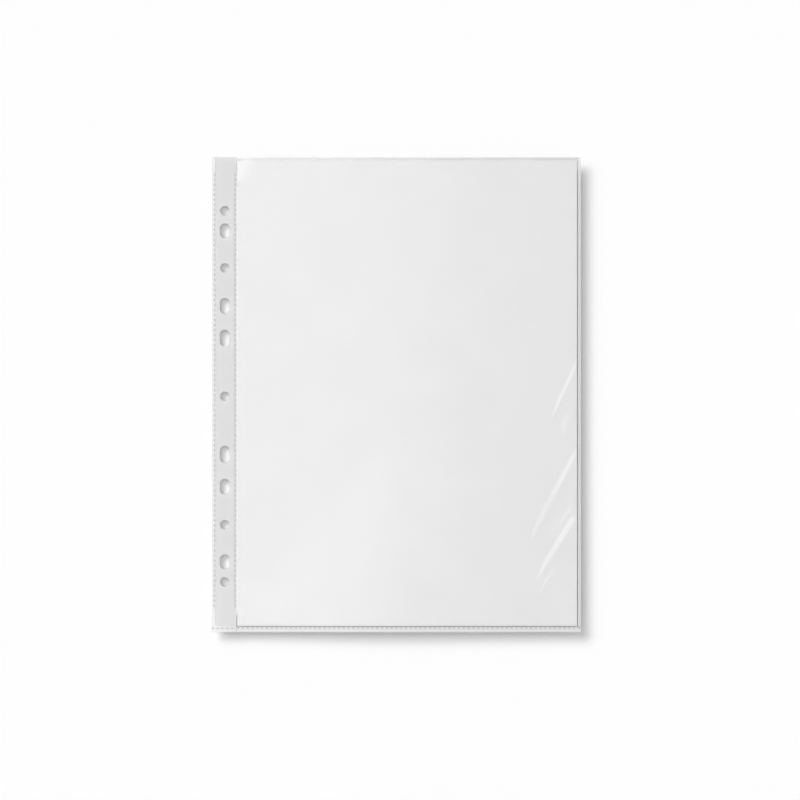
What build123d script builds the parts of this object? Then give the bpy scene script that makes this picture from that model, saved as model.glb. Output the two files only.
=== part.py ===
from build123d import *
import os

os.makedirs("parts", exist_ok=True)

# A clear punched pocket lying flat, in millimetres: its mouth towards +Y, its binding strip on the -X side

# The sheet inside and the room around it
SHEET_WIDTH = 219.4
SHEET_HEIGHT = 301.0
SHEET_THICKNESS = 0.24
SHEET_PLAY = 0.09
SIDE_CLEARANCE = 0.45
FOOT_CLEARANCE = 0.30
MOUTH_LIP = 1.90

# The clear film, which is the same on both faces
FILM = 0.09
FOLD_WIDTH = 2.1
RELIEF_WIDTH = 8.4
RELIEF_DEPTH = 18.6

# Welded seams: a fused land, then a ramp where the two films part
SEAM_RAMP = 0.5
OUTER_LAND = 2.2
BOTTOM_LAND = 3.3
HINGE_LAND = 1.2
HINGE_GAP = 0.10

# Rows of pressed dots in the lands
DOT_LENGTH = 1.4
DOT_WIDTH = 0.9
DOT_DEPTH = 0.06
SIDE_DOT_PITCH = 3.24
BOTTOM_DOT_PITCH = 3.10
OUTER_DOT_LINE = 1.65
BOTTOM_DOT_LINE = 2.5
HINGE_DOT_LINE = 0.65
BARE_AT_MOUTH = 10.0
BARE_AT_FOOT = 15.5

# Reinforced strip and its punching, as distances up and down from the middle hole
TAPE_WIDTH = 11.5
TAPE_THICKNESS = 0.42
HOLE_DIAMETER = 6.0
ROUND_HOLE_OFFSETS = (83.0, 120.0)
SLOT_WIDTH = 6.3
INNER_SLOT_OFFSET = 37.5
INNER_SLOT_LENGTH = 11.0
MIDDLE_SLOT_OFFSET = 58.4
MIDDLE_SLOT_LENGTH = 10.2
OUTER_SLOT_OFFSET = 107.0
OUTER_SLOT_LENGTH = 9.5
PUNCHING_DROP = 1.2

# Heights of the layers, with strip and pocket centred on one level
room = SHEET_THICKNESS + 2 * SHEET_PLAY
total_thickness = 2 * FILM + room
front_level = FILM + room
middle_level = total_thickness / 2
tape_level = middle_level - TAPE_THICKNESS / 2
strip_level = tape_level - FILM
strip_front_level = tape_level + TAPE_THICKNESS

# Widths and heights that follow from the sheet and the seams
outer_weld_width = OUTER_LAND + SEAM_RAMP
bottom_weld_width = BOTTOM_LAND + SEAM_RAMP
hinge_weld_width = HINGE_LAND + SEAM_RAMP
panel_width = SHEET_WIDTH + 2 * SIDE_CLEARANCE
panel_height = FOOT_CLEARANCE + SHEET_HEIGHT + MOUTH_LIP
strip_width = outer_weld_width + TAPE_WIDTH
hinge_reach = HINGE_GAP + FILM
overall_width = strip_width + hinge_reach + hinge_weld_width + panel_width + FOLD_WIDTH
overall_height = bottom_weld_width + panel_height

# Places, with the origin under the middle of the flat pocket
left_edge = -overall_width / 2
right_edge = overall_width / 2
foot_edge = -overall_height / 2
mouth_edge = overall_height / 2
tape_left = left_edge + outer_weld_width
tape_right = tape_left + TAPE_WIDTH
hinge_axis = tape_right + hinge_reach
panel_left = hinge_axis + hinge_weld_width
panel_right = panel_left + panel_width
panel_foot = foot_edge + bottom_weld_width
hole_line = (tape_left + tape_right) / 2
middle_hole = -PUNCHING_DROP


def dots_between(start, end, pitch):
    """Number of dots that fit on a run at a pitch."""
    return max(1, int((end - start - DOT_LENGTH) // pitch) + 1)


def seam_section(land, spread):
    """Corners of a seam's Y-shaped section: fused from 0 to its land, then two films parting to a spread."""
    width = land + SEAM_RAMP
    return [
        (0, middle_level - FILM),
        (land, middle_level - FILM),
        (width, middle_level - spread / 2 - FILM),
        (width, middle_level - spread / 2),
        (land, middle_level),
        (width, middle_level + spread / 2),
        (width, middle_level + spread / 2 + FILM),
        (land, middle_level + FILM),
        (0, middle_level + FILM),
    ]


def dots_across(start, end, row):
    """Row of pressed dots along X, on the front of the bottom weld's land."""
    count = dots_between(start, end, BOTTOM_DOT_PITCH)
    with BuildSketch(Plane.XY.offset(middle_level + FILM)) as dots:
        with Locations(((start + end) / 2, row)):
            with GridLocations(BOTTOM_DOT_PITCH, 0, count, 1):
                Rectangle(DOT_LENGTH, DOT_WIDTH)
    return dots.sketch


def dots_along(row):
    """Row of pressed dots along Y, on the front of a side weld's land, bare near the mouth and the foot."""
    start = foot_edge + BARE_AT_FOOT
    end = mouth_edge - BARE_AT_MOUTH
    count = dots_between(start, end, SIDE_DOT_PITCH)
    with BuildSketch(Plane.XY.offset(middle_level + FILM)) as dots:
        with Locations((row, (start + end) / 2)):
            with GridLocations(0, SIDE_DOT_PITCH, 1, count):
                Rectangle(DOT_WIDTH, DOT_LENGTH)
    return dots.sketch


def strip_layer():
    """Outline of a strip layer between the outer weld and the hinge, above the foot weld."""
    with Locations((tape_left, panel_foot)):
        Rectangle(TAPE_WIDTH, panel_height, align=(Align.MIN, Align.MIN))


def panel_outline():
    """Outline of a pocket panel between the hinge weld and the side fold, above the bottom weld."""
    with Locations((panel_left, panel_foot)):
        Rectangle(panel_width, panel_height, align=(Align.MIN, Align.MIN))


# Ring holes and slots, mirrored about the middle hole
with BuildSketch(Plane.XY) as punching:
    with Locations((hole_line, middle_hole)):
        Circle(HOLE_DIAMETER / 2)
        for offset in ROUND_HOLE_OFFSETS:
            with GridLocations(0, 2 * offset, 1, 2):
                Circle(HOLE_DIAMETER / 2)
        with GridLocations(0, 2 * INNER_SLOT_OFFSET, 1, 2):
            SlotOverall(INNER_SLOT_LENGTH, SLOT_WIDTH, rotation=90)
        with GridLocations(0, 2 * MIDDLE_SLOT_OFFSET, 1, 2):
            SlotOverall(MIDDLE_SLOT_LENGTH, SLOT_WIDTH, rotation=90)
        with GridLocations(0, 2 * OUTER_SLOT_OFFSET, 1, 2):
            SlotOverall(OUTER_SLOT_LENGTH, SLOT_WIDTH, rotation=90)

# Back of the pocket: a plain sheet of film
with BuildPart() as back_panel:
    with BuildSketch(Plane.XY):
        panel_outline()
    extrude(amount=FILM)

# Front of the pocket: film with a slanted relief cut at the mouth, beside the strip
with BuildPart() as front_panel:
    with BuildSketch(Plane.XY.offset(front_level)):
        panel_outline()
        with BuildLine():
            Polyline(
                (panel_left, mouth_edge - RELIEF_DEPTH),
                (panel_left + RELIEF_WIDTH, mouth_edge),
                (panel_left, mouth_edge),
                close=True,
            )
        make_face(mode=Mode.SUBTRACT)
    extrude(amount=FILM)

# Creased edge where the film turns from the front to the back
with BuildPart() as side_fold:
    with BuildSketch(Plane.XZ.offset(-panel_foot)):
        with BuildLine():
            Polyline(
                (panel_right, 0),
                (right_edge, middle_level - FILM),
                (right_edge, middle_level + FILM),
                (panel_right, total_thickness),
                (panel_right, front_level),
                (right_edge - FILM, middle_level),
                (panel_right, FILM),
                close=True,
            )
        make_face()
    extrude(amount=-panel_height)

# Weld across the foot of the pocket, from the hinge weld to the side fold's crease
with BuildPart() as bottom_weld:
    with BuildSketch(Plane(origin=(panel_left, foot_edge, 0), x_dir=(0, 1, 0), z_dir=(1, 0, 0))):
        with BuildLine():
            Polyline(*seam_section(BOTTOM_LAND, room), close=True)
        make_face()
    extrude(amount=right_edge - panel_left)
    dots = dots_across(panel_left, right_edge, foot_edge + BOTTOM_DOT_LINE)
    extrude(dots, amount=-DOT_DEPTH, mode=Mode.SUBTRACT)

# Weld between leaf and strip: a rounded nose on the bending line, a dotted land and two parting films
with BuildPart() as hinge_weld:
    with BuildSketch(Plane(origin=(hinge_axis, foot_edge, 0), x_dir=(1, 0, 0), z_dir=(0, -1, 0))):
        with BuildLine():
            Polyline(*seam_section(HINGE_LAND, room), close=True)
        make_face()
        with Locations((0, middle_level)):
            Circle(FILM)
    extrude(amount=-overall_height)
    extrude(dots_along(hinge_axis + HINGE_DOT_LINE), amount=-DOT_DEPTH, mode=Mode.SUBTRACT)

# Back film of the binding strip
with BuildPart() as strip_back:
    with BuildSketch(Plane.XY.offset(strip_level)):
        strip_layer()
    extrude(amount=FILM)
    extrude(punching.sketch, amount=strip_front_level + FILM, both=True, mode=Mode.SUBTRACT)

# Stiff tape between the strip's films
with BuildPart() as reinforcing_tape:
    with BuildSketch(Plane.XY.offset(tape_level)):
        strip_layer()
    extrude(amount=TAPE_THICKNESS)
    extrude(punching.sketch, amount=strip_front_level + FILM, both=True, mode=Mode.SUBTRACT)

# Front film of the binding strip
with BuildPart() as strip_front:
    with BuildSketch(Plane.XY.offset(strip_front_level)):
        strip_layer()
    extrude(amount=FILM)
    extrude(punching.sketch, amount=strip_front_level + FILM, both=True, mode=Mode.SUBTRACT)

# Weld along the strip's free edge
with BuildPart() as outer_weld:
    with BuildSketch(Plane(origin=(left_edge, panel_foot, 0), x_dir=(1, 0, 0), z_dir=(0, -1, 0))):
        with BuildLine():
            Polyline(*seam_section(OUTER_LAND, TAPE_THICKNESS), close=True)
        make_face()
    extrude(amount=-panel_height)
    extrude(dots_along(left_edge + OUTER_DOT_LINE), amount=-DOT_DEPTH, mode=Mode.SUBTRACT)

# End of the bottom weld, across the foot of the strip
with BuildPart() as strip_foot_weld:
    with BuildSketch(Plane(origin=(left_edge, foot_edge, 0), x_dir=(0, 1, 0), z_dir=(1, 0, 0))):
        with BuildLine():
            Polyline(*seam_section(BOTTOM_LAND, TAPE_THICKNESS), close=True)
        make_face()
    extrude(amount=strip_width)
    dots = dots_across(left_edge, tape_right, foot_edge + BOTTOM_DOT_LINE)
    extrude(dots, amount=-DOT_DEPTH, mode=Mode.SUBTRACT)

# White sheet in the pocket
with BuildPart() as insert_sheet:
    with BuildSketch(Plane.XY.offset(FILM + SHEET_PLAY)):
        with Locations((panel_left + SIDE_CLEARANCE, panel_foot + FOOT_CLEARANCE)):
            Rectangle(SHEET_WIDTH, SHEET_HEIGHT, align=(Align.MIN, Align.MIN))
    extrude(amount=SHEET_THICKNESS)

pieces = {
    "back_panel": back_panel,
    "front_panel": front_panel,
    "side_fold": side_fold,
    "bottom_weld": bottom_weld,
    "hinge_weld": hinge_weld,
    "strip_back": strip_back,
    "reinforcing_tape": reinforcing_tape,
    "strip_front": strip_front,
    "outer_weld": outer_weld,
    "strip_foot_weld": strip_foot_weld,
    "insert_sheet": insert_sheet,
}
for name, piece in pieces.items():
    piece.part.label = name
    export_step(piece.part, f"parts/{name}.step")

print(f"overall {overall_width:.2f} x {overall_height:.2f} x {total_thickness:.2f} mm")
print(f"hinge axis x {hinge_axis:.3f} z {middle_level:.3f}, hole line x {hole_line:.3f}")
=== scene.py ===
"""Dresses a packed sheet protector: folded film, dotted weld seams, a punched strip and a white sheet."""

import logging
import math
from dataclasses import dataclass
from enum import Enum
from typing import Any, Sequence

import bmesh
import bpy
import numpy as np
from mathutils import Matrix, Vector


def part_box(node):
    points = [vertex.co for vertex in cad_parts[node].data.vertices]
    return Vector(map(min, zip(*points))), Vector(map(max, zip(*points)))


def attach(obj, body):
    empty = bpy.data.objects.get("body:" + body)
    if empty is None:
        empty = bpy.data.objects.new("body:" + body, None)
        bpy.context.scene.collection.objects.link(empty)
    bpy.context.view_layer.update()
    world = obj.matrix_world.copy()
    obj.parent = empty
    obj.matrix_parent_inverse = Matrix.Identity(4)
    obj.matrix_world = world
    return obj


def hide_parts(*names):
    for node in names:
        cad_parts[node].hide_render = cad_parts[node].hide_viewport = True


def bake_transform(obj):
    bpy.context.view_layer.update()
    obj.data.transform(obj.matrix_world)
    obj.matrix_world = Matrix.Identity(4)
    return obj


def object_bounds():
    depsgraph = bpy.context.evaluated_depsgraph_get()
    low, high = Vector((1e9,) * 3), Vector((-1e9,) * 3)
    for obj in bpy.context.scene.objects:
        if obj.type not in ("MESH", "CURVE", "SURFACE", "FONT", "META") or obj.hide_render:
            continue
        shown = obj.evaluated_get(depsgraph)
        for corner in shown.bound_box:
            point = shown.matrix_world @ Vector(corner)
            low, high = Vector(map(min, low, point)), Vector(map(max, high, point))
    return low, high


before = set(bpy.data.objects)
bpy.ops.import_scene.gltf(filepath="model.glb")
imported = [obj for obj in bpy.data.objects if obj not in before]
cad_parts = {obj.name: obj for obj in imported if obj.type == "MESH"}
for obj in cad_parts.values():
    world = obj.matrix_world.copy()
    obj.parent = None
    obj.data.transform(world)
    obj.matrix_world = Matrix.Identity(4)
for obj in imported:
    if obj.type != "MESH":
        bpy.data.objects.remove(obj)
cad_low, cad_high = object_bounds()

logging.basicConfig(level=logging.INFO, format="%(name)s: %(message)s")
LOG = logging.getLogger("sheet_protector")

MM = 0.001
# The loose pocket and its sheet lie this far below the strip's upper end, in millimetres.
MOUTH_DROP = 0.4
WHITE = (1.0, 1.0, 1.0, 1.0)
Point = tuple[float, float]
Colour = tuple[float, float, float]
Face = Sequence[int]


class Body(Enum):
    """The CAD bodies that pieces ride on."""

    STRIP = "binding_strip"
    POCKET = "pocket"
    SHEET = "insert"


class Slot(Enum):
    """The record's material slots."""

    CLEAR = "clear_film"
    FUSED = "fused_film"
    TAPE = "tape"
    PAPER = "paper"


class Lit(Enum):
    """What a lamp lights: the floor alone, or all but the floor."""

    FLOOR = "INCLUDE"
    PIECES = "EXCLUDE"


class Run(Enum):
    """The direction that a seam runs in."""

    ALONG_X = "x"
    ALONG_Y = "y"


def smooth(low: float, high: float, value: Any) -> Any:
    """Eases from 0 at low to 1 at high.

    Args:
        low: Where the easing starts.
        high: Where it ends.
        value: Number or array to ease.

    Returns:
        The eased share, from 0 to 1.
    """
    share = np.clip((value - low) / (high - low), 0.0, 1.0)
    return share * share * (3.0 - 2.0 * share)


@dataclass(frozen=True)
class Ripple:
    """A long, low wave over a sheet, with its lengths across and along in millimetres."""

    share: float
    across: float
    along: float
    shift: float

    def lift(self, x: np.ndarray, y: np.ndarray) -> np.ndarray:
        """Height of the wave at each place, as a share of the full height."""
        return self.share * np.sin(x / self.across + y / self.along + self.shift)


@dataclass(frozen=True)
class Places:
    """Edges and levels of the flat pocket in millimetres, as the CAD nodes have them but for the mouth."""

    left: float
    right: float
    foot: float
    mouth: float
    tape_left: float
    tape_right: float
    panel_left: float
    panel_right: float
    panel_foot: float
    film: float
    top: float
    tape_low: float
    tape_high: float
    sheet_low: Vector
    sheet_high: Vector

    @classmethod
    def read(cls) -> "Places":
        """Reads the places from the frame's node boxes."""
        strip_low, strip_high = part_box("strip_front")
        panel_low, panel_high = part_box("back_panel")
        tape_low, tape_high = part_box("reinforcing_tape")
        sheet_low, sheet_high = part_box("insert_sheet")
        return cls(
            left=cad_low.x / MM,
            right=cad_high.x / MM,
            foot=cad_low.y / MM,
            mouth=cad_high.y / MM,
            tape_left=strip_low.x / MM,
            tape_right=strip_high.x / MM,
            panel_left=panel_low.x / MM,
            panel_right=panel_high.x / MM,
            panel_foot=panel_low.y / MM,
            film=(panel_high.z - panel_low.z) / MM,
            top=cad_high.z / MM,
            tape_low=tape_low.z / MM,
            tape_high=tape_high.z / MM,
            sheet_low=sheet_low / MM,
            sheet_high=sheet_high / MM - Vector((0.0, MOUTH_DROP, 0.0)),
        )

    @property
    def middle(self) -> float:
        """Level of the middle of the flat pocket."""
        return self.top / 2

    @property
    def pocket_mouth(self) -> float:
        """Place of the loose pocket's mouth, just below the strip's upper end."""
        return self.mouth - MOUTH_DROP

    @property
    def hole_line(self) -> float:
        """Place of the line of holes, down the middle of the tape."""
        return (self.tape_left + self.tape_right) / 2


class MeshKit:
    """Turns points in millimetres into mesh objects that sit at the origin."""

    @staticmethod
    def solid(name: str, shape: tuple[np.ndarray, list[Face]], crease_deg: float = 50.0) -> bpy.types.Object:
        """Makes a shaded mesh object.

        Args:
            name: Name of the piece.
            shape: Corner points in millimetres, and the corner numbers of each face.
            crease_deg: Edges sharper than this stay crisp.

        Returns:
            The new object, in the scene.
        """
        points, faces = shape
        mesh = bpy.data.meshes.new(name)
        mesh.from_pydata((np.asarray(points) * MM).tolist(), [], faces)
        work = bmesh.new()
        work.from_mesh(mesh)
        bmesh.ops.recalc_face_normals(work, faces=work.faces)
        work.to_mesh(mesh)
        work.free()
        mesh.polygons.foreach_set("use_smooth", [True] * len(mesh.polygons))
        mesh.set_sharp_from_angle(angle=math.radians(crease_deg))
        return MeshKit.show(name, mesh)

    @staticmethod
    def show(name: str, mesh: bpy.types.Mesh) -> bpy.types.Object:
        """Puts a mesh in the scene as an object at the origin."""
        piece = bpy.data.objects.new(name, mesh)
        bpy.context.scene.collection.objects.link(piece)
        return piece

    @staticmethod
    def shell(middle: np.ndarray, thickness: float) -> tuple[np.ndarray, list[Face]]:
        """Thickens a grid of points to a closed shell.

        Args:
            middle: Rows and columns of points on the middle surface.
            thickness: Thickness of the shell.

        Returns:
            Points and faces of the shell.
        """
        rows, columns = middle.shape[:2]
        normal = np.cross(np.gradient(middle, axis=1), np.gradient(middle, axis=0))
        normal /= np.linalg.norm(normal, axis=2, keepdims=True)
        outer = (middle + normal * thickness / 2).reshape(-1, 3)
        inner = (middle - normal * thickness / 2).reshape(-1, 3)
        count = rows * columns
        index = np.arange(count).reshape(rows, columns)
        corners = [index[:-1, :-1], index[:-1, 1:], index[1:, 1:], index[1:, :-1]]
        quads = np.stack(corners, axis=-1).reshape(-1, 4)
        rim = np.concatenate([index[0, :-1], index[:-1, -1], index[-1, :0:-1], index[:0:-1, 0]])
        after = np.roll(rim, -1)
        walls = np.stack([rim, rim + count, after + count, after], axis=-1)
        faces = np.concatenate([quads, quads[:, ::-1] + count, walls])
        return np.concatenate([outer, inner]), faces.tolist()

    @staticmethod
    def prism(section: Sequence[Point], stations: np.ndarray, run: Run) -> tuple[np.ndarray, list[Face]]:
        """Runs a section along X or Y.

        Args:
            section: Closed outline as (across, height) points.
            stations: Places along the run.
            run: Direction of the run.

        Returns:
            Points and faces of the closed prism.
        """
        outline = np.array(section)
        count = len(outline)
        rings = np.empty((len(stations), count, 3))
        along, across = (0, 1) if run is Run.ALONG_X else (1, 0)
        rings[:, :, along] = stations[:, None]
        rings[:, :, across] = outline[:, 0]
        rings[:, :, 2] = outline[:, 1]
        index = np.arange(rings.shape[0] * count).reshape(-1, count)
        after = np.roll(index, -1, axis=1)
        sides = np.stack([index[:-1], after[:-1], after[1:], index[1:]], axis=-1).reshape(-1, 4)
        caps = [index[0, ::-1].tolist(), index[-1].tolist()]
        return rings.reshape(-1, 3), sides.tolist() + caps

    @staticmethod
    def plate(loops: Sequence[np.ndarray], low: float, high: float) -> tuple[np.ndarray, list[Face]]:
        """Makes a flat plate with holes.

        Args:
            loops: Corners of the outside and then of each hole, in order.
            low: Level of the underside.
            high: Level of the top.

        Returns:
            Points and faces of the closed plate.
        """
        work = bmesh.new()
        for loop in loops:
            corners = [work.verts.new((x, y, 0.0)) for x, y in loop]
            for first, second in zip(corners, corners[1:] + corners[:1]):
                work.edges.new((first, second))
        work.verts.index_update()
        bmesh.ops.triangle_fill(work, use_beauty=True, edges=work.edges[:], normal=(0.0, 0.0, 1.0))
        top = [[corner.index for corner in face.verts] for face in work.faces]
        work.free()
        flat = np.concatenate(loops)
        count = len(flat)
        points = np.concatenate([np.c_[flat, np.full(count, high)], np.c_[flat, np.full(count, low)]])
        faces: list[Face] = top + [[corner + count for corner in reversed(face)] for face in top]
        start = 0
        for loop in loops:
            ring = np.arange(start, start + len(loop))
            after = np.roll(ring, -1)
            faces += np.stack([ring, ring + count, after + count, after], axis=-1).tolist()
            start += len(loop)
        return points, faces

    @staticmethod
    def mark(piece: bpy.types.Object, name: str, values: np.ndarray) -> None:
        """Stores one number per point, for materials to read."""
        layer = piece.data.attributes.new(name, "FLOAT", "POINT")
        layer.data.foreach_set("value", np.asarray(values, np.float32).ravel())

    @staticmethod
    def settle(piece: bpy.types.Object) -> None:
        """Turns a piece's modifiers into a plain mesh."""
        depsgraph = bpy.context.evaluated_depsgraph_get()
        made = bpy.data.meshes.new_from_object(
            piece.evaluated_get(depsgraph), preserve_all_data_layers=True, depsgraph=depsgraph
        )
        old = piece.data
        piece.modifiers.clear()
        piece.data = made
        bpy.data.meshes.remove(old)
        made.name = piece.name


class Nodes:
    """Adds nodes to one tree and joins them."""

    def __init__(self, tree: bpy.types.NodeTree) -> None:
        """Keeps the tree."""
        self.tree = tree

    def add(self, kind: str, inputs: dict[Any, Any] | None = None, **settings: Any) -> bpy.types.Node:
        """Adds a node.

        Args:
            kind: Blender's name of the node type.
            inputs: Values or sockets for its inputs, by name or number.
            **settings: Other properties of the node, which are set first.

        Returns:
            The new node.
        """
        node = self.tree.nodes.new(kind)
        for key, value in settings.items():
            setattr(node, key, value)
        for key, value in (inputs or {}).items():
            if isinstance(value, bpy.types.NodeSocket):
                self.tree.links.new(value, node.inputs[key])
            else:
                node.inputs[key].default_value = value
        return node

    def math(self, operation: str, *values: Any, clamp: bool = False) -> bpy.types.NodeSocket:
        """Adds a Math node and returns its result."""
        inputs = dict(enumerate(values))
        return self.add("ShaderNodeMath", inputs, operation=operation, use_clamp=clamp).outputs[0]

    def ease(self, value: Any, low: Any, high: Any, to_low: Any, to_high: Any) -> bpy.types.NodeSocket:
        """Adds a smooth Map Range node and returns its result."""
        inputs = {"Value": value, "From Min": low, "From Max": high, "To Min": to_low, "To Max": to_high}
        return self.add("ShaderNodeMapRange", inputs, interpolation_type="SMOOTHSTEP").outputs["Result"]

    def noise(self, vector: Any, scale: Any, detail: float, roughness: float) -> bpy.types.NodeSocket:
        """Adds a Noise Texture and returns its value."""
        inputs = {"Vector": vector, "Scale": scale, "Detail": detail, "Roughness": roughness}
        return self.add("ShaderNodeTexNoise", inputs).outputs["Fac"]

    def blend(self, share: Any, first: Any, second: Any) -> bpy.types.NodeSocket:
        """Adds a colour Mix node and returns its result."""
        return self.add("ShaderNodeMix", {0: share, 6: first, 7: second}, data_type="RGBA").outputs[2]

    def socket(self, name: str, kind: str, output: bool = False) -> str:
        """Adds a named socket to a group and returns its identifier."""
        side = "OUTPUT" if output else "INPUT"
        made = self.tree.interface.new_socket(name, in_out=side, socket_type=f"NodeSocket{kind}")
        return made.identifier

    def parts(self, vector: Any) -> Any:
        """Adds a Separate XYZ node and returns its outputs."""
        return self.add("ShaderNodeSeparateXYZ", {0: vector}).outputs

    def end(self, geometry: Any, material: Any) -> None:
        """Ends a Geometry Nodes tree: makes instances real, sets the material and puts the result out."""
        real = self.add("GeometryNodeRealizeInstances", {"Geometry": geometry}).outputs[0]
        inputs = {"Geometry": real, "Material": material}
        dressed = self.add("GeometryNodeSetMaterial", inputs).outputs[0]
        self.add("NodeGroupOutput", {"Geometry": dressed})


class SharedEffects:
    """Shader node groups that several finishes use."""

    PEEL_DETAIL = (2.0, 0.45)
    LINE_DETAIL = (3.0, 0.6)
    PATCH_DETAIL = (2.0, 0.5)
    DRAWN_OUT = (1.0, 0.02, 1.0)
    LINE_SHARE = 0.35
    SHEEN_BAND = (0.35, 0.7)
    PATCH_BAND = (0.3, 0.7)

    def __init__(self) -> None:
        """Builds the groups once."""
        self.grain = self.film_grain()
        self.cloud = self.soft_cloud()

    def film_grain(self) -> bpy.types.NodeTree:
        """Fine orange-peel grain with faint drawing lines, as a height and a sheen mask."""
        tree = bpy.data.node_groups.new("film_grain", "ShaderNodeTree")
        nodes = Nodes(tree)
        nodes.socket("Vector", "Vector")
        nodes.socket("Grain Scale", "Float")
        nodes.socket("Line Scale", "Float")
        nodes.socket("Height", "Float", output=True)
        nodes.socket("Sheen", "Float", output=True)
        inside = nodes.add("NodeGroupInput").outputs
        peel = nodes.noise(inside["Vector"], inside["Grain Scale"], *self.PEEL_DETAIL)
        stretch = {0: inside["Vector"], 1: self.DRAWN_OUT}
        drawn = nodes.add("ShaderNodeVectorMath", stretch, operation="MULTIPLY").outputs[0]
        lines = nodes.noise(drawn, inside["Line Scale"], *self.LINE_DETAIL)
        height = nodes.math("MULTIPLY_ADD", lines, self.LINE_SHARE, peel)
        sheen = nodes.ease(lines, *self.SHEEN_BAND, 0.0, 1.0)
        nodes.add("NodeGroupOutput", {"Height": height, "Sheen": sheen})
        return tree

    def soft_cloud(self) -> bpy.types.NodeTree:
        """Large soft patches, from 0 to 1, for haze and tone that drift over a sheet."""
        tree = bpy.data.node_groups.new("soft_cloud", "ShaderNodeTree")
        nodes = Nodes(tree)
        nodes.socket("Vector", "Vector")
        nodes.socket("Patch Scale", "Float")
        nodes.socket("Patch", "Float", output=True)
        inside = nodes.add("NodeGroupInput").outputs
        patch = nodes.noise(inside["Vector"], inside["Patch Scale"], *self.PATCH_DETAIL)
        nodes.add("NodeGroupOutput", {"Patch": nodes.ease(patch, *self.PATCH_BAND, 0.0, 1.0)})
        return tree


class Finish:
    """A procedural material that reads Object coordinates."""

    def __init__(self, name: str, effects: SharedEffects) -> None:
        """Starts an empty material.

        Args:
            name: Name of the material.
            effects: Shared node groups.
        """
        self.material = bpy.data.materials.new(name)
        self.material.use_nodes = True
        self.material.node_tree.nodes.clear()
        self.nodes = Nodes(self.material.node_tree)
        self.effects = effects
        self.place = self.nodes.add("ShaderNodeTexCoord").outputs["Object"]

    def grain(self, grain_scale: float, line_scale: float) -> bpy.types.Node:
        """Places the film grain group."""
        inputs = {"Vector": self.place, "Grain Scale": grain_scale, "Line Scale": line_scale}
        return self.nodes.add("ShaderNodeGroup", inputs, node_tree=self.effects.grain)

    def cloud(self, patch_scale: float) -> bpy.types.NodeSocket:
        """Places the soft cloud group."""
        inputs = {"Vector": self.place, "Patch Scale": patch_scale}
        return self.nodes.add("ShaderNodeGroup", inputs, node_tree=self.effects.cloud).outputs["Patch"]

    def mask(self, name: str) -> bpy.types.NodeSocket:
        """Reads a mask that a piece's mesh stores."""
        return self.nodes.add("ShaderNodeAttribute", attribute_name=name).outputs["Fac"]

    def bump(self, height: Any, strength: float, depth_mm: float) -> bpy.types.NodeSocket:
        """Adds a Bump node and returns its normal."""
        inputs = {"Strength": strength, "Distance": depth_mm * MM, "Height": height}
        return self.nodes.add("ShaderNodeBump", inputs).outputs["Normal"]

    def lets_light_through(self, seen: Any, passed: Any) -> bpy.types.NodeSocket:
        """Lets most of the lamps' light through a face.

        Args:
            seen: Shader that is seen.
            passed: Colour of the light that a face passes on.

        Returns:
            The surface shader.
        """
        light_ray = self.nodes.add("ShaderNodeLightPath").outputs["Is Shadow Ray"]
        clear = self.nodes.add("ShaderNodeBsdfTransparent", {"Color": passed}).outputs[0]
        return self.nodes.add("ShaderNodeMixShader", {0: light_ray, 1: seen, 2: clear}).outputs[0]

    def close(self, surface: Any) -> bpy.types.Material:
        """Joins the surface to the output and returns the material."""
        self.nodes.add("ShaderNodeOutputMaterial", {"Surface": surface})
        return self.material


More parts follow.
